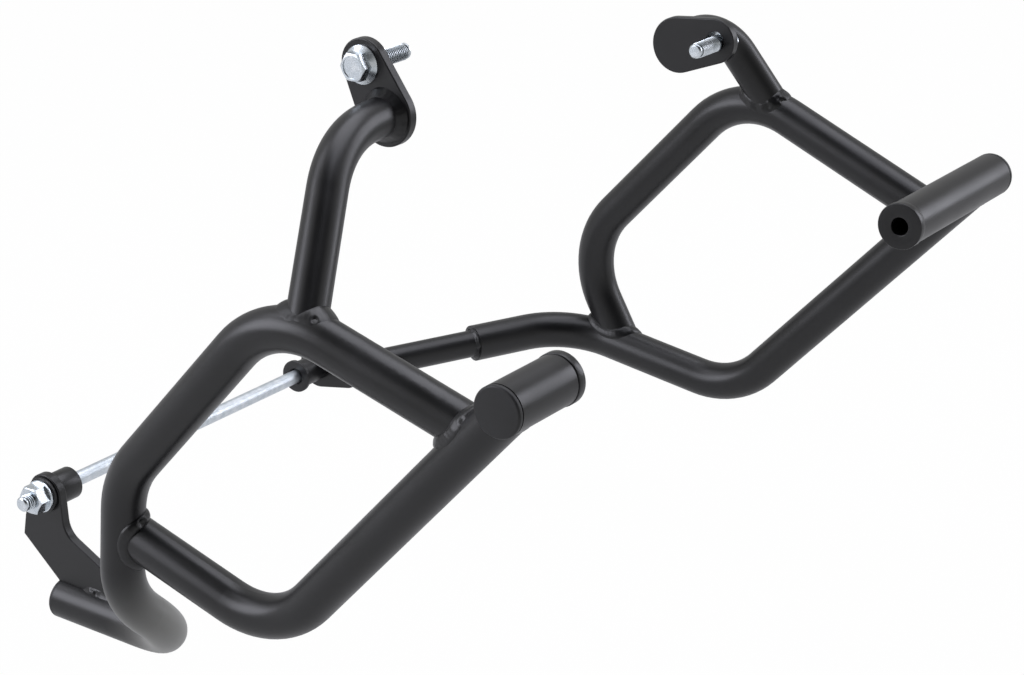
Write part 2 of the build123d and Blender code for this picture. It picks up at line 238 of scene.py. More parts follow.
def moulded_nylon(name, finish):
    """Black nylon from a spark-eroded mould: a dull skin with a fine even grain."""
    material, tree, place, surface = start_material(name)
    # Coarser than a real mould's grain, so that it shows
    grain = add_noise(tree, place, patch=0.8 * MM, detail=3.0)
    flow = add_noise(tree, place, patch=14 * MM, detail=2.0)
    tint = add_tint(tree, flow, "#141415", finish.nylon_black)
    gloss = add_gloss(tree, flow, smooth=0.48, dull=0.58)
    relief = add_relief(tree, grain, strength=0.4, height=0.03 * MM)
    tree.links.new(tint, surface.inputs["Base Color"])
    tree.links.new(gloss, surface.inputs["Roughness"])
    tree.links.new(relief, surface.inputs["Normal"])
    return material


def black_oxide(name, finish):
    """Oiled black oxide on a stamped washer: a thin dark film, a little glossier than the powder."""
    material, tree, place, surface = start_material(name)
    film = add_noise(tree, place, patch=4 * MM, detail=3.0)
    tint = add_tint(tree, film, "#101011", finish.oxide_black)
    gloss = add_gloss(tree, film, smooth=0.3, dull=0.42)
    tree.links.new(tint, surface.inputs["Base Color"])
    tree.links.new(gloss, surface.inputs["Roughness"])
    return material


def finish_named(name, make):
    """The material of that name, made once and shared by every piece that has the finish."""
    return bpy.data.materials.get(name) or make(name, bpy.context.scene.crash_bar_finish)


def powder():
    return finish_named("satin_black_powder_coat", satin_powder_coat)


def zinc():
    return finish_named("clear_zinc_plate", turned_zinc_plate)


def drawn_zinc():
    return finish_named("clear_zinc_on_drawn_rod", drawn_zinc_plate)


def thread_root():
    return finish_named("zinc_thread_root_oil_and_painted_shade", oil_and_shade_thread_root)


def nylon():
    return finish_named("moulded_black_nylon", moulded_nylon)


def oxide():
    return finish_named("black_oxide_steel", black_oxide)


# Mesh helpers

def coat(node, material):
    """Give a CAD node its finish."""
    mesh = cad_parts[node].data
    mesh.materials.clear()
    mesh.materials.append(material)


def make_piece(bm, name, materials, crease=math.radians(32)):
    """Turn a bmesh into a piece that rides with the bars, smooth but for its sharp edges."""
    for face in bm.faces:
        face.smooth = True
    for edge in bm.edges:
        if len(edge.link_faces) == 2 and edge.calc_face_angle() > crease:
            edge.smooth = False
    mesh = bpy.data.meshes.new(name)
    bm.to_mesh(mesh)
    bm.free()
    for material in materials:
        mesh.materials.append(material)
    piece = bpy.data.objects.new(name, mesh)
    bpy.context.scene.collection.objects.link(piece)
    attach(piece, "root")
    return piece


def turned(profile, centre, axis, edge_break, steps=96):
    """Lathe a closed half section and break its edges. Its corners are a radius and a distance along the
    axis, in mm."""
    bm = bmesh.new()
    side = axis.orthogonal().normalized()
    corners = [bm.verts.new(centre + side * (r * MM) + axis * (d * MM)) for r, d in profile]
    edges = [bm.edges.new((corners[i - 1], corners[i])) for i in range(len(corners))]
    on_axis = [e for e in edges if all((v.co - centre).dot(side) < 1e-7 for v in e.verts)]
    for edge in on_axis:
        bm.edges.remove(edge)
    bmesh.ops.spin(
        bm,
        geom=bm.verts[:] + bm.edges[:],
        cent=centre,
        axis=axis,
        angle=math.tau,
        steps=steps,
        use_merge=True,
    )
    bmesh.ops.remove_doubles(bm, verts=bm.verts[:], dist=1e-6)
    bmesh.ops.recalc_face_normals(bm, faces=bm.faces[:])
    rim_angle = math.radians(40)
    rims = [e for e in bm.edges if len(e.link_faces) == 2 and e.calc_face_angle() > rim_angle]
    bmesh.ops.bevel(
        bm,
        geom=rims,
        offset=edge_break * MM,
        offset_type="OFFSET",
        segments=3,
        profile=0.5,
        affect="EDGES",
        material=-1,
    )
    return bm


def trimmed_copy(node, cut, keep):
    """A merged copy of a CAD node, cut off at a plane square to keep and closed there."""
    bm = bmesh.new()
    bm.from_mesh(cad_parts[node].data)
    bmesh.ops.remove_doubles(bm, verts=bm.verts[:], dist=1e-6)
    bmesh.ops.bisect_plane(
        bm,
        geom=bm.verts[:] + bm.edges[:] + bm.faces[:],
        dist=1e-7,
        plane_co=cut,
        plane_no=keep,
        clear_inner=True,
    )
    bmesh.ops.holes_fill(bm, edges=[e for e in bm.edges if e.is_boundary], sides=0)
    bmesh.ops.recalc_face_normals(bm, faces=bm.faces[:])
    return bm


# Depth of a metric thread and length of its plain lead in pitches, height of the lead and of the oiled band
# with painted shade as shares of the depth, and steps in a turn
THREAD_DEPTH = 0.6134
LEAD_TURNS = 1.7
LEAD_SHARE = 0.65
OIL_AND_SHADE_SHARE = 0.5
TURN_STEPS = 30


def cut_thread(root, along, length, major, pitch, chamfer):
    """A bolt thread: a core with a plain chamfered lead and one helical ridge that fades out on the lead.

    The lower part of the groove takes the second material, oiled zinc darkened with painted shade. Sizes
    are in mm.
    """
    crest = major / 2
    core = crest - THREAD_DEPTH * pitch
    lead = core + LEAD_SHARE * (crest - core)
    oil_shade_radius = core + OIL_AND_SHADE_SHARE * (crest - core)
    lead_start = length - LEAD_TURNS * pitch
    lead_slope = 0.4
    profile = [
        (0, 0),
        (core, 0),
        (core, lead_start),
        (lead, lead_start + lead_slope),
        (lead, length - chamfer),
        (lead - chamfer, length),
        (0, length),
    ]
    bm = turned(profile, root, along, edge_break=0.15, steps=48)
    side = along.orthogonal().normalized()
    sunk = core - 0.2
    foot_half, oil_shade_half, crest_half = 0.46 * pitch, 0.24 * pitch, 0.07 * pitch
    ridge = [
        (sunk, -foot_half),
        (oil_shade_radius, -oil_shade_half),
        (crest, -crest_half),
        (crest, crest_half),
        (oil_shade_radius, oil_shade_half),
        (sunk, foot_half),
    ]
    turns = math.floor(lead_start / pitch)
    start = root + along * (pitch * 0.5 * MM)
    section = bm.faces.new([bm.verts.new(start + side * (r * MM) + along * (d * MM)) for r, d in ridge])
    bmesh.ops.spin(
        bm,
        geom=[section] + section.edges[:] + section.verts[:],
        cent=root,
        axis=along,
        dvec=along * (pitch * MM / TURN_STEPS),
        angle=math.tau * turns,
        steps=turns * TURN_STEPS,
        use_merge=False,
    )
    bmesh.ops.holes_fill(bm, edges=[e for e in bm.edges if e.is_boundary], sides=0)
    fade_slope = 0.5
    for vert in bm.verts:
        reach = (vert.co - root).dot(along)
        out = vert.co - root - along * reach
        limit = lead * MM + fade_slope * max(0.0, lead_start * MM - reach)
        if out.length > limit:
            vert.co = root + along * reach + out.normalized() * limit
    # Faces low in the groove take the oiled zinc with painted shade
    oil_shade_limit = (oil_shade_radius + 0.02) * MM
    for face in bm.faces:
        reaches = [(v.co - root).dot(along) for v in face.verts]
        widest = max((v.co - root - along * r).length for v, r in zip(face.verts, reaches))
        if widest < oil_shade_limit and max(reaches) < lead_start * MM:
            face.material_index = 1
    bmesh.ops.recalc_face_normals(bm, faces=bm.faces[:])
    return bm


# Weld beads

# Spots across a bead's face and round its whole section, the spacing of sections along it and how far its
# toes are sunk
FACE_SPOTS = 13
SECTION_SPOTS = 16
SECTION_STEP = 0.5 * MM
SINK = 0.3 * MM
# How far the noise is spread round a ring, along a straight bead and from weld to weld, and how fast and by
# what share it widens a bead
DRIFT_RADIUS = 2.2
DRIFT_LENGTH = 6.0
SEED_STEP = 3.7
WIDTH_PACE = 0.8
WIDTH_DRIFT = 0.16
# Legs that do not lean
EVEN_LEGS = ((0, 0, 0), (0, 0, 0))


def surface_of(node):
    """A search tree over the faces of a CAD node."""
    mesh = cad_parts[node].data
    corners = [v.co.copy() for v in mesh.vertices]
    return BVHTree.FromPolygons(corners, [list(p.vertices) for p in mesh.polygons])


def ring_corners(surface, foot, along, radius, cast_out, count):
    """Where the branch tube's wall lands on the tube or plate that it meets, all the way round. Where a ray
    misses, the nearest level along it is taken."""
    side = along.orthogonal().normalized()
    other = along.cross(side)
    reach, levels = 4 * radius, 40
    corners, radials = [], []
    for k in range(count):
        turn = math.tau * k / count
        radial = side * math.cos(turn) + other * math.sin(turn)
        start = foot + radial * (radius + cast_out)
        hit = surface.ray_cast(start + along * reach, -along, 2 * reach)[0]
        if hit is None:
            tries = [start + along * (reach * (0.5 - i / levels)) for i in range(levels + 1)]
            hit = min(tries, key=lambda p: surface.find_nearest(p)[3])
        corners.append(foot + radial * radius + along * (hit - foot).dot(along))
        radials.append(radial)
    return corners, radials


def evened(values, rounds):
    """Vectors round a closed ring, each averaged with its neighbours a few times."""
    count = len(values)
    for _ in range(rounds):
        values = [(values[i - 1] + values[i] * 2 + values[(i + 1) % count]) / 4 for i in range(count)]
    return values


def bead_section(corner, toe_branch, toe_run, lift, fill, crown, bump):
    """One section of a bead: its face from toe to toe, hollow for a low fill and raised by its crown, and
    its root inside the joint."""
    pull = corner.lerp(toe_branch.lerp(toe_run, 0.5), fill)
    spots = []
    for i in range(FACE_SPOTS):
        s = i / (FACE_SPOTS - 1)
        face = toe_branch.lerp(pull, s).lerp(pull.lerp(toe_run, s), s)
        rise = crown * (1 - abs(2 * s - 1) ** 3) + bump(s) * 4 * s * (1 - s)
        spots.append(face + lift * rise)
    inside = corner - lift * (3 * SINK)
    roots = SECTION_SPOTS - FACE_SPOTS
    for i in range(1, roots + 1):
        share = 2 * i / (roots + 1)
        spots.append(toe_run.lerp(inside, share) if share <= 1 else inside.lerp(toe_branch, share - 1))
    return spots


def bead_bump(detail, drift, phase, rough):
    """Height of the bead's lumps and faint ripples over its face, as a function of the share across it."""
    # How fast the noise runs along and across the bead, and how far the ripples bow
    swell_along, swell_across = 0.9, 1.2
    ridge_along, ridge_across = 1.9, 1.6
    swell_share, ripple_bow = 0.6, 2.2

    def bump(s):
        ripple = math.cos(math.tau * (phase - ripple_bow * (s - 0.5) ** 2))
        swell = noise.noise(drift * swell_along + Vector((0, 0, s * swell_across)))
        ridge = noise.noise(drift * ridge_along + Vector((0, 0, s * ridge_across)))
        lump = swell_share * swell + rough * ridge
        return detail.lump_height * rough * lump + detail.ripple_height * ripple
    return bump


def ring_sections(weld, surface, foot, along, detail, seed):
    """The sections of a bead all the way round a branch."""
    radius = weld["radius"] * MM
    count = round(math.tau * radius / SECTION_STEP)
    corners, radials = ring_corners(surface, foot, along, radius, weld["cast_out"] * MM, count)
    corners = evened(corners, rounds=8)
    near = [surface.find_nearest(c) for c in corners]
    normals = [n.normalized() for n in evened([n[1] for n in near], rounds=10)]
    landings = evened([n[0] for n in near], rounds=4)
    drifts, widths, toes, travel = [], [], [], [0.0]
    up_lean, out_lean = (Vector(lean) for lean in weld["leans"])
    for k in range(count):
        turn = math.tau * k / count
        around = Vector((math.cos(turn), math.sin(turn), 0))
        drifts.append(around * DRIFT_RADIUS + Vector((0, 0, seed * SEED_STEP)))
        widths.append(1 + WIDTH_DRIFT * noise.noise(drifts[k] * WIDTH_PACE))
        away = (corners[(k + 1) % count] - corners[k - 1]).normalized().cross(normals[k])
        if away.dot(radials[k] - along) < 0:
            away = -away
        out_leg = weld["legs"][1] * MM * (widths[k] + radials[k].dot(out_lean))
        spot, normal = surface.find_nearest(landings[k] + away * out_leg)[:2]
        toes.append(spot - normal * SINK)
        travel.append(travel[-1] + (corners[(k + 1) % count] - corners[k]).length)
    toes = evened(toes, rounds=6)
    ripples = max(6, round(travel[-1] / detail.ripple_pitch))

    table = []
    for k in range(count):
        up_leg = weld["legs"][0] * MM * (widths[k] + radials[k].dot(up_lean))
        toe_branch = corners[k] + along * up_leg - radials[k] * SINK
        bump = bead_bump(detail, drifts[k], ripples * travel[k] / travel[-1], weld["rough"])
        lift = (normals[k] + radials[k]).normalized()
        corner = corners[k].lerp(landings[k], 0.5)
        crown = weld["crown"] * MM * widths[k]
        table.append(bead_section(corner, toe_branch, toes[k], lift, weld["fill"], crown, bump))
    return table


def weld_ring(name, weld, detail, seed):
    """Lay a bead round a branch that lands on a tube or plate, with faint ripples and the stop crater."""
    foot, toward = mm(*weld["foot"]), mm(*weld["toward"])
    along = (toward - foot).normalized()
    radius = weld["radius"] * MM
    surface = surface_of(weld["run"])
    table = ring_sections(weld, surface, foot, along, detail, seed)
    count = len(table)
    bm = bmesh.new()
    side = along.orthogonal().normalized()
    other = along.cross(side)
    across = Matrix((side, along, side.cross(along))).transposed().to_4x4()
    upright = Matrix.Translation(foot + side * radius) @ across
    bmesh.ops.create_circle(bm, segments=SECTION_SPOTS, radius=radius / 3, matrix=upright)
    bmesh.ops.spin(
        bm,
        geom=bm.verts[:] + bm.edges[:],
        cent=foot,
        axis=along,
        angle=math.tau,
        steps=count,
        use_merge=True,
    )
    for vert in bm.verts:
        out = vert.co - foot
        rise = out.dot(along)
        turn = math.atan2(out.dot(other), out.dot(side)) % math.tau
        spot = math.atan2(rise, (out - along * rise).length - radius) % math.tau
        k = round(turn / math.tau * count) % count
        vert.co = table[k][round(spot / math.tau * SECTION_SPOTS) % SECTION_SPOTS]
    if weld["crater"]:
        place, wide, depth = weld["crater"]
        dig_crater(bm, mm(*place), wide * MM, depth * MM, surface)
    bmesh.ops.recalc_face_normals(bm, faces=bm.faces[:])
    return make_piece(bm, name, [powder()], BEAD_CREASE)


def dig_crater(bm, place, radius, depth, surface):
    """Sink the pit where the arc was stopped into the bead nearest to a place, with a low rim."""
    middle = min(bm.verts, key=lambda v: (v.co - place).length).co.copy()
    normal = surface.find_nearest(middle)[1]
    rim_width, rim_height = 0.6, depth * 0.15
    for vert in bm.verts:
        gap = (vert.co - middle).length / radius
        if gap < 1:
            vert.co -= normal * (depth * (1 - gap * gap) ** 2)
        elif gap < 1 + rim_width:
            vert.co += normal * (rim_height * math.sin(math.pi * (gap - 1) / rim_width))


def weld_run(name, start, end, up, wall, run, legs, stop, detail, seed):
    """Lay a straight bead along the foot of a plate, with a rough heap where stop gives the share of its
    length."""
    start, end = mm(*start), mm(*end)
    surface = surface_of(run)
    length = (end - start).length
    ahead = (end - start).normalized()
    count = round(length / SECTION_STEP)
    heap_width = 4.5 * MM
    heap_crown = 0.9 * MM
    even_rough, heap_rough = 0.2, 1.4
    fill = 0.6
    # The bead swells from nearly nothing over a fifth of its length at either end
    least_swell, ends = 0.05, 5
    table = []
    for k in range(count + 1):
        share = k / count
        swell = max(least_swell, min(1.0, ends * share, ends * (1 - share))) ** 0.5
        corner = start.lerp(end, share)
        landing, normal = surface.find_nearest(corner)[:2]
        away = ahead.cross(normal)
        if away.dot(wall) < 0:
            away = -away
        drift = Vector((share * DRIFT_LENGTH, 0.0, 2 * seed * SEED_STEP))
        spot, slope = surface.find_nearest(landing + away * (legs[1] * MM * swell))[:2]
        toe_branch = corner + up * (legs[0] * MM * swell) - wall * SINK
        heap = math.exp(-((share - stop) * length / heap_width) ** 2)
        rough = even_rough + heap_rough * heap
        bump = bead_bump(detail, drift, length * share / detail.ripple_pitch, rough)
        lift = (normal + wall).normalized()
        toe_run = spot - slope * SINK
        table.append(bead_section(corner, toe_branch, toe_run, lift, fill, heap_crown * heap, bump))
    bm = bmesh.new()
    across = Matrix((wall, up, wall.cross(up))).transposed().to_4x4()
    upright = Matrix.Translation(start) @ across
    bmesh.ops.create_circle(bm, segments=SECTION_SPOTS, radius=legs[0] * MM, matrix=upright)
    bmesh.ops.spin(
        bm,
        geom=bm.verts[:] + bm.edges[:],
        cent=start,
        axis=ahead,
        dvec=ahead * (length / count),
        angle=0.0,
        steps=count,
        use_merge=False,
    )
    for vert in bm.verts:
        out = vert.co - start
        k = min(count, max(0, round(out.dot(ahead) / length * count)))
        spot = math.atan2(out.dot(up), out.dot(wall)) % math.tau
        vert.co = table[k][round(spot / math.tau * SECTION_SPOTS) % SECTION_SPOTS]
    bmesh.ops.holes_fill(bm, edges=[e for e in bm.edges if e.is_boundary], sides=0)
    bmesh.ops.recalc_face_normals(bm, faces=bm.faces[:])
    return make_piece(bm, name, [powder()], BEAD_CREASE)


def weld_at(
    foot, toward, radius, run, legs, fill, rough, crown, cast_out=-0.3, crater=None, leans=EVEN_LEGS,
):
    """What a ring weld needs, in mm: a point of the branch's axis at the joint and one further out, the
    branch's radius, the node it lands on, the bead's legs on branch and run, how full and how lumpy its
    face is, how far it is crowned, how far outside the wall to look for the landing, the crater's place,
    radius and depth, and which way each leg leans, being longer there by that share."""
    return dict(
        foot=foot, toward=toward, radius=radius, run=run, legs=legs, fill=fill, rough=rough, crown=crown,
        cast_out=cast_out, crater=crater, leans=leans,
    )


# Radii of the loop tubes, the upper arms and the left extension, and every ring weld, in mm
TUBE = 12.5
ARM = 11.25
EXTENSION = 9.4
WELDS = {
    "right_lower_joint_weld": weld_at(
        (107.9, -232.0, 21.1), (216.0, -232.0, -12.5), TUBE, "right_main_tube", (3.0, 4.6), 1.2, 0.4, 1.3,
        crater=((122.5, -236.5, 30.3), 3.2, 1.7),
    ),
    "right_top_joint_weld": weld_at(
        (347.8, -227.0, 132.0), (219.5, -232.0, 174.5), TUBE, "right_lower_tube", (4.0, 5.0), 1.0, 0.6, 0.9,
        crater=((344.6, -240.0, 144.8), 2.2, 0.8),
    ),
    "right_arm_foot_weld": weld_at(
        (240.4, -231.2, 167.6), (209.0, -163.5, 248.0), ARM, "right_main_tube", (4.2, 7.0), 0.95, 0.4, 0.6,
        crater=((251.6, -237.5, 178.6), 2.2, 0.8), leans=((0.0, 0.5, 0.1), (0.3, -0.3, -0.1)),
    ),
    "right_arm_head_weld": weld_at(
        (206.0, -112.0, 249.5), (209.0, -163.5, 248.0), ARM, "right_upper_plate", (5.0, 4.6), 0.8, 0.4, 0.3,
        cast_out=0.0,
    ),
    "right_boss_weld": weld_at(
        (371.0, -232.0, 157.5), (216.0, -232.0, -12.5), TUBE, "right_boss_tube", (3.5, 3.0), 0.8, 0.5, 0.4,
    ),
    "left_lower_joint_weld": weld_at(
        (142.5, 235.5, -3.7), (106.0, 235.5, 61.5), TUBE, "left_lower_tube", (3.6, 4.2), 1.0, 0.4, 0.9,
    ),
    "left_top_joint_weld": weld_at(
        (378.2, 227.0, 133.7), (232.5, 232.0, 195.5), TUBE, "left_lower_tube", (4.0, 4.5), 1.0, 0.8, 0.6,
    ),
    "left_arm_foot_weld": weld_at(
        (257.8, 231.1, 184.8), (223.0, 214.5, 241.5), ARM, "left_upper_tube", (4.5, 4.5), 0.9, 1.0, 0.6,
        crater=((269.1, 222.0, 194.0), 2.4, 1.2),
    ),
    "left_arm_head_weld": weld_at(
        (217.0, 173.0, 232.5), (223.0, 214.5, 241.5), ARM, "left_upper_plate", (5.0, 4.6), 0.8, 0.4, 0.3,
        cast_out=0.0,
    ),
    "left_step_weld": weld_at(
        (64.8, 161.9, 2.1), (23.0, 76.0, 1.0), EXTENSION, "left_lower_tube", (2.6, 2.2), 1.1, 0.7, 0.3,
        cast_out=0.8,
    ),
    "left_extension_foot_weld": weld_at(
        (23.0, 76.0, 1.0), (64.8, 161.9, 2.1), EXTENSION, "left_lower_plate", (3.0, 2.6), 0.9, 0.5, 0.3,
        cast_out=0.0,
    ),
    "left_boss_weld": weld_at(
        (401.5, 232.0, 158.5), (235.5, 232.0, -18.0), TUBE, "left_boss_tube", (3.5, 3.0), 0.8, 0.5, 0.4,
    ),
}


# What a user may change

class CrashBarFinish(PropertyGroup):
    """Colours and gloss of the bars' finishes."""

    powder_black: FloatVectorProperty(
        name="Powder Black", description="Lighter tone of the powder coat", subtype="COLOR", size=3,
        min=0.0, max=1.0, default=linear("#121214")[:3],
    )
    powder_roughness: FloatProperty(
        name="Powder Roughness", description="Middle roughness of the powder coat", subtype="FACTOR",
        min=0.1, max=0.9, default=0.34,
    )
    zinc_silver: FloatVectorProperty(
        name="Zinc Silver", description="Lighter tone of the zinc plating", subtype="COLOR", size=3,
        min=0.0, max=1.0, default=linear("#e2e7eb")[:3],
    )
    # The pale grey of the painted sheen on the low bend of the right bar, a painted highlight
    painted_sheen_grey: FloatVectorProperty(
        name="Painted Sheen Grey", description="Painted sheen on the low bend of the right bar", subtype="COLOR", size=3,
        min=0.0, max=1.0, default=linear("#7e7e7a")[:3],
    )
    # The tone of the thread roots, darkened by oil and by painted shade
    root_oil_and_shade_grey: FloatVectorProperty(
        name="Thread Root Oil and Shade Grey", description="Lighter tone of the oiled thread roots", subtype="COLOR",
        size=3, min=0.0, max=1.0, default=linear("#6a7176")[:3],
    )
    zinc_roughness: FloatProperty(
        name="Zinc Roughness", description="Middle roughness of the zinc plating", subtype="FACTOR",
        min=0.05, max=0.9, default=0.26,
    )
    rod_roughness: FloatProperty(
        name="Rod Roughness", description="Middle roughness of the plating on the drawn rod",
        subtype="FACTOR", min=0.05, max=0.9, default=0.42,
    )
    nylon_black: FloatVectorProperty(
        name="Nylon Black", description="Lighter tone of the moulded caps", subtype="COLOR", size=3,
        min=0.0, max=1.0, default=linear("#1e1e20")[:3],
    )
    oxide_black: FloatVectorProperty(
        name="Oxide Black", description="Lighter tone of the black washers", subtype="COLOR", size=3,
        min=0.0, max=1.0, default=linear("#1a1a1c")[:3],
    )


class CrashBarDetail(PropertyGroup):
    """Sizes of the welds, threads and broken edges."""

    lump_height: FloatProperty(
        name="Lump Height", description="How far the lumps of a weld bead rise and fall",
        subtype="DISTANCE", unit="LENGTH", min=0.0, default=0.5 * MM,
    )
    ripple_pitch: FloatProperty(
        name="Ripple Pitch", description="Spacing of the ripples along a weld bead",
        subtype="DISTANCE", unit="LENGTH", min=1.0 * MM, default=2.6 * MM,
    )
    ripple_height: FloatProperty(
        name="Ripple Height", description="Half the height of a weld ripple",
        subtype="DISTANCE", unit="LENGTH", min=0.0, default=0.03 * MM,
    )
    thread_pitch: FloatProperty(
        name="Thread Pitch", description="Pitch of the bolt and rod threads",
        subtype="DISTANCE", unit="LENGTH", min=0.5 * MM, default=1.5 * MM,
    )
    thread_major: FloatProperty(
        name="Thread Diameter", description="Outer diameter of the bolt and rod threads",
        subtype="DISTANCE", unit="LENGTH", min=4.0 * MM, default=9.8 * MM,
    )


class CrashBarStage(PropertyGroup):
    """Camera, floor and light."""

    lens: FloatProperty(name="Lens", description="Focal length", unit="CAMERA", min=10.0, default=84.375)
    camera_place: FloatVectorProperty(
        name="Camera Place", description="Where the camera stands", subtype="TRANSLATION", unit="LENGTH",
        default=(0.976, -1.1159, 0.5868),
    )
    camera_turn: FloatVectorProperty(
        name="Camera Turn", description="How the camera is turned", subtype="EULER", unit="ROTATION",
        default=(math.radians(69.7), 0.0, math.radians(34.5)),
    )
    floor_drop: FloatProperty(
        name="Floor Drop", description="How far the floor lies under the lowest tube",
        subtype="DISTANCE", unit="LENGTH", min=0.0, default=0.03,
    )


# Operators

class CRASHBARS_OT_coat_tubes(Operator):
    """Give the tubes, plates and bosses their powder coat"""

    bl_idname = "crashbars.coat_tubes"
    bl_label = "Coat Tubes and Plates"

    def execute(self, context):
        for node in COATED_NODES:
            coat(node, powder())
        return {"FINISHED"}


class CRASHBARS_OT_turn_trim(Operator):
    """Turn the boss caps, collars, bushes and washers with broken edges"""

    bl_idname = "crashbars.turn_trim"
    bl_label = "Turn Caps, Bushes and Washers"

    def execute(self, context):
        # Centres of the bosses and the rod as forward and up, and half sections, in mm
        right_boss, left_boss, rod = (371.0, 157.5), (401.5, 158.5), (0.0, 0.0)
        cap = [
            (0, -8), (8.4, -8), (8.4, 0), (13.0, 0), (13.0, 0.6), (13.7, 0.6), (13.7, 2.7), (12.9, 3.5),
            (0, 3.5),
        ]
        collar = [
            (5.5, -8), (8.4, -8), (8.4, 0), (13.1, 0), (13.1, 0.6), (14.2, 0.6), (14.2, 6), (5.5, 6),
        ]
        right_bush, left_bush = self.sleeve(20.0, 16.0, 10.2), self.sleeve(18.0, 21.5, 9.6)
        eye_washer, rod_washer = self.sleeve(22.0, 2.5), self.sleeve(20.0, 2.0)
        # Node, half section, centre, level along Y, way it stands, edge break, finish and slot
        trim = (
            ("right_boss_cap", cap, right_boss, -245.5, TO_RIGHT, 0.35, nylon, "cap_plastic"),
            ("left_boss_cap", cap, left_boss, 251.0, TO_LEFT, 0.35, nylon, "cap_plastic"),
            ("right_boss_collar", collar, right_boss, -198.0, TO_LEFT, 0.5, powder, "powder_coat"),
            ("left_boss_collar", collar, left_boss, 128.0, TO_RIGHT, 0.5, powder, "powder_coat"),
            ("right_lower_bush", right_bush, rod, -184.0, TO_LEFT, 0.5, powder, "powder_coat"),
            ("left_lower_bush", left_bush, rod, 70.0, TO_RIGHT, 0.5, powder, "powder_coat"),
            ("right_eye_washer", eye_washer, rod, -190.0, TO_RIGHT, 0.4, oxide, "black_washer"),
            ("left_eye_washer", eye_washer, rod, 48.5, TO_RIGHT, 0.4, oxide, "black_washer"),
            ("right_rod_washer", rod_washer, rod, -192.5, TO_RIGHT, 0.3, zinc, "zinc_plate"),
        )
        for node, profile, place, level, axis, edge_break, finish, slot in trim:
            bm = turned(profile, mm(place[0], level, place[1]), axis, edge_break)
            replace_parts(make_piece(bm, node + "_turned", [finish()]), node)
        coat("right_stub_plug", nylon())
        return {"FINISHED"}

    @staticmethod
    def sleeve(outer, length, bore=11.0):
        """Half section of a plain sleeve or washer over the rod, in mm. The bushes fit it closest."""
        return [(bore / 2, 0), (outer / 2, 0), (outer / 2, length), (bore / 2, length)]


class CRASHBARS_OT_lay_welds(Operator):
    """Lay the weld beads where tubes and plates meet"""

    bl_idname = "crashbars.lay_welds"
    bl_label = "Lay Weld Beads"

    def execute(self, context):
        detail = context.scene.crash_bar_detail
        for seed, (name, weld) in enumerate(WELDS.items()):
            weld_ring(name, weld, detail, seed)
        weld_run(
            "right_plate_weld", (27.0, -190.0, -55.5), (56.0, -190.0, -56.4), UP, TO_RIGHT,
            "right_main_tube", (3.4, 2.2), 0.32, detail, 21,
        )
        return {"FINISHED"}


class CRASHBARS_OT_cut_threads(Operator):
    """Give the bolts and the engine rod real threads and plate the hardware"""

    bl_idname = "crashbars.cut_threads"
    bl_label = "Cut Threads"

    def execute(self, context):
        detail = context.scene.crash_bar_detail
        pitch, major = detail.thread_pitch / MM, detail.thread_major / MM
        # Node, start of its thread, way it runs, length and the shank's finish
        threads = (
            ("right_upper_bolt", (192.0, -111.0, 275.5), TO_LEFT, 32.0, zinc),
            ("left_upper_bolt", (245.1, 172.0, 237.3), TO_RIGHT, 25.0, zinc),
            ("engine_rod", (0.0, -171.5, 0.0), TO_RIGHT, 38.0, drawn_zinc),
        )
        for node, place, along, length, finish in threads:
            shank = trimmed_copy(node, mm(*place), -along)
            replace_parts(make_piece(shank, node + "_shank", [finish()]), node)
            thread = cut_thread(mm(*place), along, length, major, pitch, chamfer=1.0)
            make_piece(thread, node + "_thread", [zinc(), thread_root()], THREAD_CREASE)
        coat("right_rod_nut", zinc())
        return {"FINISHED"}


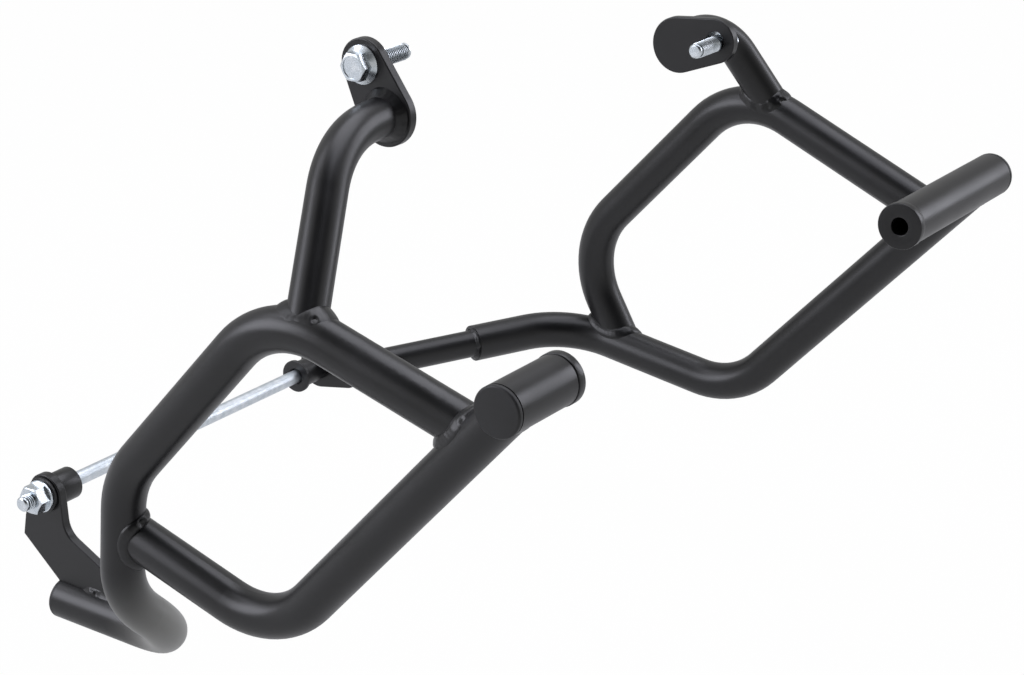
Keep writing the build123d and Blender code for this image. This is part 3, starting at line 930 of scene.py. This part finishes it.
class CRASHBARS_OT_set_stage(Operator):
    """Set the floor, the lamps, the world and the camera"""

    bl_idname = "crashbars.set_stage"
    bl_label = "Set Stage"

    def execute(self, context):
        stage = context.scene.crash_bar_stage
        self.lay_floor(stage)
        self.hang_lamps()
        self.fill_world(context)
        camera = bpy.data.cameras.new("photo_camera")
        camera.lens = stage.lens
        camera.sensor_width = 36.0
        camera.clip_end = 50.0
        holder = bpy.data.objects.new("photo_camera", camera)
        holder.location = stage.camera_place
        holder.rotation_euler = stage.camera_turn
        context.scene.collection.objects.link(holder)
        context.scene.camera = holder
        context.scene.view_settings.view_transform = "Standard"
        return {"FINISHED"}

    @staticmethod
    def lay_floor(stage):
        """A wide white floor that shows white to the camera and in reflections, with the bars' shadow."""
        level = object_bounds()[0].z - stage.floor_drop
        floor_radius = 9.0
        mirror_share, camera_share = 0.3, 0.985
        under_bars = Matrix.Translation((0.2, 0.0, level))
        bm = bmesh.new()
        bmesh.ops.create_circle(bm, cap_ends=True, segments=96, radius=floor_radius, matrix=under_bars)
        mesh = bpy.data.meshes.new("studio_floor")
        bm.to_mesh(mesh)
        bm.free()
        floor = bpy.data.objects.new("studio_floor", mesh)
        bpy.context.scene.collection.objects.link(floor)
        material = bpy.data.materials.new("white_studio_paper")
        material.use_nodes = True
        tree = material.node_tree
        tree.nodes.clear()
        path = add_node(tree, "ShaderNodeLightPath").outputs
        mirrored = add_node(tree, "ShaderNodeMath", {"operation": "MAXIMUM"})
        tree.links.new(path["Is Glossy Ray"], mirrored.inputs[0])
        tree.links.new(path["Is Transmission Ray"], mirrored.inputs[1])
        dimmed = add_node(tree, "ShaderNodeMath", {"operation": "MULTIPLY"})
        tree.links.new(mirrored.outputs["Value"], dimmed.inputs[0])
        dimmed.inputs[1].default_value = mirror_share
        seen = add_node(tree, "ShaderNodeMath", {"operation": "MULTIPLY"})
        tree.links.new(path["Is Camera Ray"], seen.inputs[0])
        seen.inputs[1].default_value = camera_share
        share = add_node(tree, "ShaderNodeMath", {"operation": "MAXIMUM"})
        tree.links.new(dimmed.outputs["Value"], share.inputs[0])
        tree.links.new(seen.outputs["Value"], share.inputs[1])
        paper = add_node(tree, "ShaderNodeBsdfDiffuse", {"Color": linear("#d2d2d2")})
        white = add_node(tree, "ShaderNodeEmission", {"Color": linear("#ffffff"), "Strength": 1.0})
        mixed = add_node(tree, "ShaderNodeMixShader", links={"Fac": share.outputs["Value"]})
        tree.links.new(paper.outputs["BSDF"], mixed.inputs[1])
        tree.links.new(white.outputs["Emission"], mixed.inputs[2])
        add_node(tree, "ShaderNodeOutputMaterial", links={"Surface": mixed.outputs["Shader"]})
        mesh.materials.append(material)
        floor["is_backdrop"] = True

    @staticmethod
    def hang_lamps():
        """Soft boxes that face the middle of the bars."""
        middle = Vector((0.2, 0.0, 0.1))
        # Name, bearing and height angle in degrees, distance, width and height in metres, and brightness
        lamps = (
            ("left_soft_box", -133, 22, 1.9, 1.2, 1.0, 4.6),
            ("right_soft_box", 55, 20, 3.0, 0.95, 1.75, 4.2),
            ("top_back_soft_box", 78, 77, 1.7, 1.5, 1.3, 2.9),
            ("top_left_soft_box", -157, 50, 1.8, 0.6, 0.8, 2.2),
        )
        for name, bearing, height, distance, wide, tall, brightness in lamps:
            lamp = bpy.data.lights.new(name, "AREA")
            lamp.shape = "RECTANGLE"
            lamp.size, lamp.size_y = wide, tall
            lamp.color = linear("#f3f4ff")[:3]
            lamp.energy = brightness * math.pi * wide * tall
            holder = bpy.data.objects.new(name, lamp)
            level = math.cos(math.radians(height))
            way = Vector((
                level * math.cos(math.radians(bearing)),
                level * math.sin(math.radians(bearing)),
                math.sin(math.radians(height)),
            ))
            holder.location = middle + way * distance
            holder.rotation_euler = (-way).to_track_quat("-Z", "Y").to_euler()
            holder.visible_camera = False
            bpy.context.scene.collection.objects.link(holder)

    @staticmethod
    def fill_world(context):
        """A pale surround that the camera sees as white. It falls to dark over the front right, like a
        studio with a black ceiling there."""
        dark_way = (0.492, -0.413, 0.766)
        # Where the dark starts and where it is full, as the cosine of the angle from its middle
        dark_start, dark_full = 0.68, 0.8
        pale, dark = 0.55, 0.02
        world = bpy.data.worlds.new("studio_surround")
        context.scene.world = world
        world.use_nodes = True
        tree = world.node_tree
        tree.nodes.clear()
        way = add_node(tree, "ShaderNodeTexCoord").outputs["Generated"]
        facing = add_node(tree, "ShaderNodeVectorMath", {"operation": "DOT_PRODUCT"})
        tree.links.new(way, facing.inputs[0])
        facing.inputs[1].default_value = dark_way
        fall = add_node(
            tree,
            "ShaderNodeMapRange",
            {"From Min": dark_start, "From Max": dark_full, "To Min": pale, "To Max": dark},
            {"Value": facing.outputs["Value"]},
        )
        seen = add_node(tree, "ShaderNodeMath", {"operation": "MAXIMUM"})
        tree.links.new(fall.outputs["Result"], seen.inputs[0])
        tree.links.new(add_node(tree, "ShaderNodeLightPath").outputs["Is Camera Ray"], seen.inputs[1])
        surround = add_node(
            tree,
            "ShaderNodeBackground",
            {"Color": linear("#ffffff")},
            {"Strength": seen.outputs["Value"]},
        )
        add_node(tree, "ShaderNodeOutputWorld", links={"Surface": surround.outputs["Background"]})


class CRASHBARS_PT_dress(Panel):
    """Lists the steps that dress the bars and the values that they use"""

    bl_idname = "CRASHBARS_PT_dress"
    bl_label = "Crash Bars"
    bl_space_type = "VIEW_3D"
    bl_region_type = "UI"
    bl_category = "Crash Bars"

    def draw(self, context):
        layout = self.layout
        scene = context.scene
        for step in STEPS:
            layout.operator(step.bl_idname)
        for group in (scene.crash_bar_finish, scene.crash_bar_detail, scene.crash_bar_stage):
            box = layout.box()
            for name in group.__annotations__:
                box.prop(group, name)


STEPS = (
    CRASHBARS_OT_coat_tubes,
    CRASHBARS_OT_turn_trim,
    CRASHBARS_OT_lay_welds,
    CRASHBARS_OT_cut_threads,
    CRASHBARS_OT_set_stage,
)
CLASSES = (CrashBarFinish, CrashBarDetail, CrashBarStage) + STEPS + (CRASHBARS_PT_dress,)


def register():
    for cls in CLASSES:
        bpy.utils.register_class(cls)
    bpy.types.Scene.crash_bar_finish = PointerProperty(type=CrashBarFinish)
    bpy.types.Scene.crash_bar_detail = PointerProperty(type=CrashBarDetail)
    bpy.types.Scene.crash_bar_stage = PointerProperty(type=CrashBarStage)


def unregister():
    del bpy.types.Scene.crash_bar_stage
    del bpy.types.Scene.crash_bar_detail
    del bpy.types.Scene.crash_bar_finish
    for cls in reversed(CLASSES):
        bpy.utils.unregister_class(cls)


def main():
    register()
    bpy.ops.crashbars.coat_tubes()
    bpy.ops.crashbars.turn_trim()
    bpy.ops.crashbars.lay_welds()
    bpy.ops.crashbars.cut_threads()
    bpy.ops.crashbars.set_stage()


if __name__ == "__main__":
    main()
